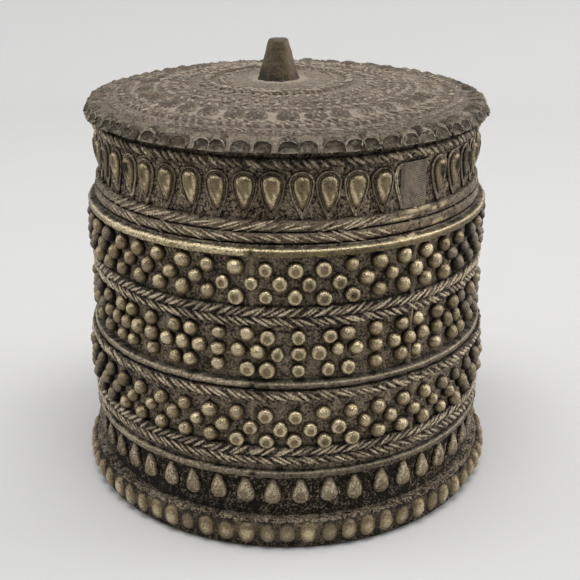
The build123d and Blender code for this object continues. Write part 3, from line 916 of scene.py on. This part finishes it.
def makeFootBeads():
    ring = course("foot_beads")
    half = beadSpec["halfWidth"]
    wall = ring.crest - half
    low, high = ring.low - beadSpec["lower"], ring.high + beadSpec["higher"]
    middle = (low + high) / 2
    tall = (high - low) / 2
    bead = newBall("bead", 12, 9, radius=half, location=(wall, 0, 0), rotation=(0, math.pi / 2, 0))
    bead.data.transform(Matrix.Translation((0, 0, middle)) @ Matrix.Diagonal((1, 1, tall / half, 1)))
    cutBack(bead, (wall - 0.2 * mm, 0, 0), (1, 0, 0))
    smooth(bead)
    paint(bead, lambda co: 0.08 + 0.85 * max(0.0, (co.x - wall) / half) ** 2)
    places = []
    for step in range(beadSpec["count"]):
        angle = (step + vary(-0.06, 0.06)) * 360 / beadSpec["count"]
        aside = abs(signed(angle))
        flat = share(aside + vary(-8, 8), 55, 30)  # worn flatter at the front
        places.append({
            "angle": turnTo(angle),
            "rise": vary(-0.1, 0.1) * mm,
            "size": (vary(0.85, 0.98) - 0.22 * flat, vary(0.98, 1.08) + 0.06 * flat, vary(0.94, 1.04)),
            "tone": 0.8 * chance.random() + 0.2 - 0.3 * flat,
        })
    beads = copyAround(bead, "footBeads", places, Vector((wall, 0, middle)))
    back, face = wall - 0.4 * mm, wall + beadSpec["bed"]
    shoulder = face - 0.2 * mm
    bed = spunPiece("beadBed", [
        (back, low + 0.1 * mm), (shoulder, middle - 0.6 * tall), (face, middle),
        (shoulder, middle + 0.6 * tall), (back, high - 0.1 * mm)], 240, closed=True)
    beads = joinPieces([beads, plainCore(bed, 0.16)], "footBeads")
    roughen(beads, depth=0.3 * mm, grain=1.3 * mm)
    finishPiece(beads, "box", pelletBrass, "foot_beads")


makeFootBeads()
print("foot beads done")


# Lid

lidSpec = {
    "domeEdge": 33.2 * mm, "domeRise": 2.6 * mm, "domeSphere": 213 * mm, "spigotInside": 30.8 * mm,
    "hollowRise": 2.4 * mm, "edgeThickness": 1.5 * mm, "edge": 37.2 * mm, "shift": 1.5 * mm,
    "leanBack": 1.2 * mm,
}
dustBands = [  # out to a reach, how worn: pale dust lies where that is low
    (18 * mm, 0.4), (24.2 * mm, 0.46), (28.6 * mm, 0.1), (30 * mm, 0.46), (33.5 * mm, 0.4), (1, 0.35),
]


def archHeight(radius, edge, rise, top):  # a shallow arc over a span
    sphere = (edge ** 2 + rise ** 2) / (2 * rise)
    return top - sphere + math.sqrt(sphere ** 2 - radius ** 2)


def domeHeight(radius):
    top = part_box("lid_plate")[1].z
    return archHeight(radius, lidSpec["domeEdge"], lidSpec["domeRise"], top)


def makeLidPlate():
    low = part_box("lid_plate")[0]
    domeEdge, spigotInside, edge = lidSpec["domeEdge"], lidSpec["spigotInside"], lidSpec["edge"]
    ledge = low.z + lidSpec["edgeThickness"]
    corner = edge - lidSpec["leanBack"]
    outline = [(radius, domeHeight(radius)) for radius in (domeEdge * step / 64 for step in range(65))]
    outline += [
        (domeEdge + 0.2 * mm, ledge + 0.2 * mm), (corner - 0.3 * mm, ledge + 0.1 * mm),
        (corner, ledge - 0.2 * mm), (edge, low.z + 0.1 * mm), (edge, low.z), (spigotInside, low.z),
    ]
    hollow = lidSpec["hollowRise"]
    for step in range(7, -1, -1):
        radius = spigotInside * step / 8
        outline.append((radius, archHeight(radius, spigotInside, hollow, low.z + hollow)))
    plate = spunPiece("lidPlate", outline, 360)

    def dome(co):
        if co.z < ledge + 0.3 * mm or co.xy.length < 0.1 * mm:
            return 0.0
        return 1.0 if 18 * mm < co.xy.length < 24 * mm else 0.4

    roughen(plate, depth=0.75 * mm, grain=1.3 * mm, rule=dome)
    smooth(plate, 60)

    def dusty(co):  # pale dust lies between the rings and round the knob
        reach = co.xy.length
        if co.z < ledge - 0.1 * mm:
            return 0.26 if reach > edge - 1.5 * mm else 0.5
        nearKnob = math.hypot(co.x + lidSpec["shift"], co.y)
        if nearKnob < 9.5 * mm:
            return 0.38 * share(nearKnob, 4.2 * mm, 6.2 * mm)
        return next(value for limit, value in dustBands if reach < limit)

    paint(plate, dusty)
    finishPiece(plate, "lid", lidBrass, "lid_plate")


petalSpec = {"count": 66, "width": 3.1 * mm, "cuts": (0.15, 0.3, 0.45, 0.58, 0.7, 0.8, 0.88, 0.95),
             "drift": 0.16, "out": (-0.4, 0), "size": (1, (0.86, 1.18), 1), "toned": True}


def makePetals():
    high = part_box("lid_petals")[1]
    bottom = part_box("lid_plate")[0].z
    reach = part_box("lid_plate")[1].x - 0.1 * mm
    start = lidSpec["domeEdge"]
    length = reach - start
    half = petalSpec["width"] / 2
    middle = high.z - half
    petal = newMesh(
        "petal", bpy.ops.mesh.primitive_cylinder_add, vertices=16, radius=half, depth=length,
        end_fill_type="NGON", location=((start + reach) / 2, 0, middle), rotation=(0, math.pi / 2, 0))
    startEdit(petal)
    for place in petalSpec["cuts"]:
        bpy.ops.mesh.bisect(plane_co=(start + length * place, 0, 0), plane_no=(1, 0, 0))
        selectAll()
    endEdit()
    for vert in petal.data.vertices:
        along = (vert.co.x - start) / length
        if vert.co.z < middle - 0.1 * mm:
            vert.co.z = bottom + 0.05 * mm
        elif vert.co.z > middle + 0.1 * mm:
            swell = 1 - 0.55 * share(along, 0.35, 0) - 0.3 * share(along, 0.7, 1)
            vert.co.z = middle + (vert.co.z - middle) * swell
    startEdit(petal, "FACE")  # the arch at the rim is scooped out, which leaves a sharp arris
    pickFaces(petal, lambda face: face.center.x > reach - 0.01 * mm)
    bpy.ops.mesh.inset(thickness=0.17 * mm, depth=-0.22 * mm)
    bpy.ops.mesh.inset(thickness=0.3 * mm, depth=-0.12 * mm)
    bpy.ops.mesh.poke()
    endEdit()

    def petalRelief(co):
        if co.x < reach - 0.6 * mm:
            return 0.42
        # the scooped arch takes the rim's near-black patina: painted shade as well as patina
        if co.x < reach - 0.05 * mm and abs(co.y) < half * 0.93 and co.z < high.z - 0.35 * mm:
            return 0.54
        return 1.15 if co.z > middle else 0.75

    paint(petal, petalRelief)
    for vert in petal.data.vertices:  # and leans back from the foot of the rim
        outward = share(vert.co.x, reach - 2.4 * mm, reach)
        vert.co.x -= lidSpec["leanBack"] * outward * share(vert.co.z, bottom, high.z)
    smooth(petal, 38)
    petals = copyAround(petal, "lidPetals", scatter(petalSpec["count"], petalSpec), Vector((0, 0, bottom)))
    roughen(petals, depth=0.5 * mm, grain=0.6 * mm)
    smooth(petals, 38)
    finishPiece(petals, "lid", rimBrass, "lid_petals")


lidRopeSpec = {"deep": 0.42 * mm, "sunk": 0.18 * mm, "coreSunk": 0.22 * mm,
               "drift": 0.15, "rise": (-0.15, 0.0), "size": ((0.9, 1.05), (0.8, 1.1), 1), "toned": True}


def makeLidRope(node, name, half, count, lean, shift=0.0, bright=0.9):
    low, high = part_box(node)
    radius = (high.x - low.x) / 2 - half
    deep = lidRopeSpec["deep"]
    top = high.z - lidRopeSpec["sunk"]
    slant = math.cos(math.radians(lean))
    spot = (radius, 0, top - deep)
    halves = (half / slant * 1.1, math.pi * radius / count * slant * 1.05, deep)
    strand = makeSeed("strand", halves, spot, lean, "Z", (0.2, bright))
    ring = copyAround(strand, name, scatter(count, lidRopeSpec), Vector(spot))
    core = newMesh(
        name + "Core", bpy.ops.mesh.primitive_torus_add, major_segments=120, minor_segments=8,
        major_radius=radius, minor_radius=half * 0.9,
        location=(0, 0, top - half * 0.9 - lidRopeSpec["coreSunk"]))
    rope = joinPieces([ring, plainCore(core, 0.18)], name)
    rope.data.transform(Matrix.Translation((-shift, 0, 0)))
    roughen(rope, depth=0.2 * mm, grain=0.8 * mm)
    finishPiece(rope, "lid", lidBrass, node)


strokeSpec = {"tall": 0.4 * mm, "drift": 0.2, "out": (-0.25, 0.25), "rise": (-0.12, 0.05),
              "size": ((0.8, 1.15), (0.8, 1.3), 1), "toned": False}
strokeRings = [  # reach, length, width, count and lean of each ring of small pressed strokes
    (28.35 * mm, 1.7 * mm, 0.3 * mm, 110, 32), (22.6 * mm, 1.9 * mm, 0.34 * mm, 80, 38),
    (20.6 * mm, 1.9 * mm, 0.34 * mm, 72, -38), (19.1 * mm, 1.4 * mm, 0.32 * mm, 66, 38),
    (15.4 * mm, 2.2 * mm, 0.34 * mm, 54, -30),
]


def makeStrokes(reach, length, width, count, lean):
    spot = (reach, 0, domeHeight(reach))
    halves = (length / 2, width, strokeSpec["tall"])
    # each stroke gets a pale crest of dust and dark sides; the dark sides are painted shade beside the
    # stroke
    stroke = makeSeed("stroke", halves, spot, lean, "Z", (0.75, -0.35), rings=6)
    return copyAround(stroke, "strokes", scatter(count, strokeSpec), Vector(spot))


moundSpec = {"count": 36, "reach": 26.3 * mm, "gap": 0.36 * mm, "tall": 1.0 * mm, "furrow": 0.95 * mm,
             "drift": 0.1, "size": ((0.88, 1.02), (0.8, 0.95), (0.8, 1.05)), "toned": True}


def makeMounds():
    half = math.pi * moundSpec["reach"] / moundSpec["count"] - moundSpec["gap"] / 2
    tall = moundSpec["tall"]
    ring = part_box("lid_mounds")[1].x - half
    spot = (ring, 0, domeHeight(ring))
    mound = newBall("mound", 20, 12, radius=1)
    mound.data.transform(Matrix.Diagonal((half * 1.02, half * 1.02, tall, 1)))
    cutBack(mound, (0, 0, -0.15 * mm), (0, 0, 1))

    def groove(co):  # fine furrows lie slantwise over each mound
        return 0.5 + 0.5 * math.cos(2 * math.pi * (co.y + 0.4 * co.x) / moundSpec["furrow"])

    paint(mound, lambda co: 0.2 + 0.65 * max(0.0, co.z / tall) ** 0.6 - 0.35 * groove(co))
    for vert in mound.data.vertices:
        if vert.co.z > 0:
            vert.co.z *= 1 - 0.38 * groove(vert.co)
    smooth(mound)
    tilt = math.asin(ring / lidSpec["domeSphere"])
    mound.data.transform(Matrix.Translation(spot) @ Matrix.Rotation(tilt, 4, "Y"))
    mounds = copyAround(mound, "lidMounds", scatter(moundSpec["count"], moundSpec), Vector(spot))
    mounds = joinPieces([mounds] + [makeStrokes(*row) for row in strokeRings], "lidMounds")
    roughen(mounds, depth=0.25 * mm, grain=0.8 * mm)
    finishPiece(mounds, "lid", lidBrass, "lid_mounds")


knobSpec = {"top": 1.75 * mm, "flare": 0.35 * mm, "steps": 64, "rows": 20, "short": 0.08 * mm}


def makeKnob():
    low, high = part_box("lid_knob")
    centre = Vector(((low.x + high.x) / 2, (low.y + high.y) / 2, 0))
    base = (high.x - low.x) / 2
    top, flare, rows = knobSpec["top"], knobSpec["flare"], knobSpec["rows"]
    foot = low.z + flare
    summit = high.z - knobSpec["short"]
    outline = [(0.0, low.z), (base + flare, low.z - 0.1 * mm)]
    outline += [(base + 0.25 * flare, low.z + 0.4 * flare), (base, foot)]
    for step in range(1, rows):
        along = step / rows
        outline.append((base + (top - base) * along, foot + (high.z - foot) * along))
    outline += [(top, summit - 0.12 * mm), (top - 0.15 * mm, summit), (top * 0.5, summit), (0.0, summit)]
    knob = spunPiece("lidKnob", outline, knobSpec["steps"])
    knob.data.transform(Matrix.Translation(centre))
    roughen(knob, depth=0.22 * mm, grain=1.6 * mm)
    smooth(knob, 50)

    def knobRelief(co):  # dark at its foot; darker down its left side and lighter at the right, which are painted shade and a painted highlight
        right = share(co.x - centre.x, -1.2 * mm, 2.0 * mm)
        return 0.05 + 0.25 * share(co.z, low.z, low.z + 2.5 * mm) + 0.16 * right

    paint(knob, knobRelief)
    finishPiece(knob, "lid", knobBrass, "lid_knob")


makeLidPlate()
makePetals()
makeLidRope("lid_outer_wire", "lidOuterWire", 0.45 * mm, 150, 60)
makeLidRope("lid_outer_rope", "lidOuterRope", 0.75 * mm, 120, 40)
makeLidRope("lid_middle_wire", "lidMiddleWire", 0.5 * mm, 96, 30, shift=1.0 * mm)
makeLidRope("lid_inner_rope", "lidInnerRope", 0.9 * mm, 72, 40, shift=lidSpec["shift"], bright=1.15)
makeLidRope("lid_core_rope", "lidCoreRope", 0.55 * mm, 66, -40, shift=lidSpec["shift"], bright=1.15)
makeMounds()
makeKnob()
dressHidden("lid_spigot")
print("lid done")


# Plain patch among the neck drops

patchSpec = {"from": 32.0, "to": 41.5, "proud": 0.48 * mm, "rooted": 0.1 * mm, "spacing": 0.16 * mm,
             "strokes": 0.32 * mm, "crossing": 1900}


def makePatch():
    low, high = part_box("side_patch")
    wall = wallRadius("neck_rope", 1.2 * mm)
    root, front = wall - patchSpec["rooted"], wall + patchSpec["proud"]
    outline = [(root, low.z), (front, low.z + 0.05 * mm), (front, high.z - 0.05 * mm), (root, high.z)]
    outline = denser(outline, patchSpec["spacing"])
    start = turnTo(patchSpec["from"])
    arc = math.radians(patchSpec["to"] - patchSpec["from"])
    patch = spunPiece("sidePatch", outline, 36, closed=True, arc=arc, startAngle=start)
    for vert in patch.data.vertices:  # its ends die away into the wall
        ends = min(fromFront(vert.co) - patchSpec["from"], patchSpec["to"] - fromFront(vert.co))
        vert.co.xy *= 1 - 0.35 * mm * share(ends, 0.9, 0.0) / vert.co.xy.length
    roughen(patch, depth=0.22 * mm, grain=1.0 * mm)
    smooth(patch, 40)

    def brushed(co):  # strokes of a brush or file run crosswise
        angle = fromFront(co)
        stroke = math.sin(2 * math.pi * (co.z + angle * 0.01 * mm) / patchSpec["strokes"])
        return 0.42 + 0.3 * stroke * math.sin(co.z * patchSpec["crossing"] + angle)

    paint(patch, brushed)
    finishPiece(patch, "box", patchBrass, "side_patch")


makePatch()
print("patch done")


# Camera, floor and lights

viewSpec = {"back": 195.4 * mm, "height": 112.2 * mm, "down": 21.87, "aside": 0.185, "lens": 64.9}

clearSelection()
bpy.ops.object.camera_add(
    location=(0, -viewSpec["back"], viewSpec["height"]),
    rotation=(math.radians(90 - viewSpec["down"]), 0, math.radians(-viewSpec["aside"])))
camera = bpy.context.object
camera.data.lens = viewSpec["lens"]
camera.data.sensor_width = 36
camera.data.clip_start = 0.01
bpy.context.scene.camera = camera


stageSpec = {"width": 4.0, "front": -1.6, "wall": 0.42, "curve": 0.1, "height": 1.6,
             "surface": {"Base Color": (0.6, 0.595, 0.588), "Roughness": 0.9}}


def makeStage():  # paper that runs along the table and up behind the box
    left, bend, wall = -stageSpec["width"] / 2, stageSpec["curve"], stageSpec["wall"]
    points = [(left, stageSpec["front"], 0), (left, wall - bend, 0)]
    for step in range(1, 13):
        turn = math.pi / 2 * step / 12
        points.append((left, wall - bend + bend * math.sin(turn), bend * (1 - math.cos(turn))))
    points.append((left, wall, stageSpec["height"]))
    paper = drawChain(points)
    bpy.ops.mesh.extrude_region_move(TRANSFORM_OT_translate={"value": (stageSpec["width"], 0, 0)})
    selectAll()
    bpy.ops.mesh.normals_make_consistent(inside=False)
    endEdit()
    smooth(paper, 30)
    paper.name = "studioPaper"
    material = bpy.data.materials.new("studioPaper")
    material.use_nodes = True
    tree = material.node_tree
    feed(tree, tree.nodes["Principled BSDF"], stageSpec["surface"])
    paper.data.materials.append(material)


makeStage()

softboxes = {  # place, size and power
    "topSoftbox": ((0.0, -0.13, 0.76), (0.5, 0.42), 4.4),
    "leftSoftbox": ((-0.75, 0.08, 0.36), (0.5, 0.55), 1.8),
    "rightSoftbox": ((0.75, 0.12, 0.36), (0.5, 0.55), 3.0),
}
for name, (location, size, power) in softboxes.items():
    clearSelection()
    bpy.ops.object.light_add(type="AREA", location=location)
    lamp = bpy.context.object
    lamp.name = name
    lamp.data.shape = "RECTANGLE"
    lamp.data.size, lamp.data.size_y = size
    lamp.data.energy = power
    aim = Vector((0, 0, 0.04)) - Vector(location)
    lamp.rotation_euler = aim.to_track_quat("-Z", "Y").to_euler()

worldSpec = {"pale": 0.41, "dim": 0.24}
world = bpy.data.worlds.new("studioWorld")
bpy.context.scene.world = world
world.use_nodes = True
sky = world.node_tree
sides = addNode(sky, "ShaderNodeSeparateXYZ")
feed(sky, sides, {0: addNode(sky, "ShaderNodeTexCoord").outputs["Generated"]})
front = rangeNode(sky, sides.outputs["Y"], -0.35, -0.75)
over = rangeNode(sky, sides.outputs["Z"], 0.28, 0.4)
dimming = mathNode(sky, "MULTIPLY", front, over)
light = rangeNode(sky, dimming, 0.0, 1.0, worldSpec["pale"], worldSpec["dim"])
feed(sky, sky.nodes["Background"], {"Strength": light, "Color": (0.95, 0.97, 1.0)})
bpy.context.scene.view_settings.view_transform = "Standard"
print("camera and lights done")
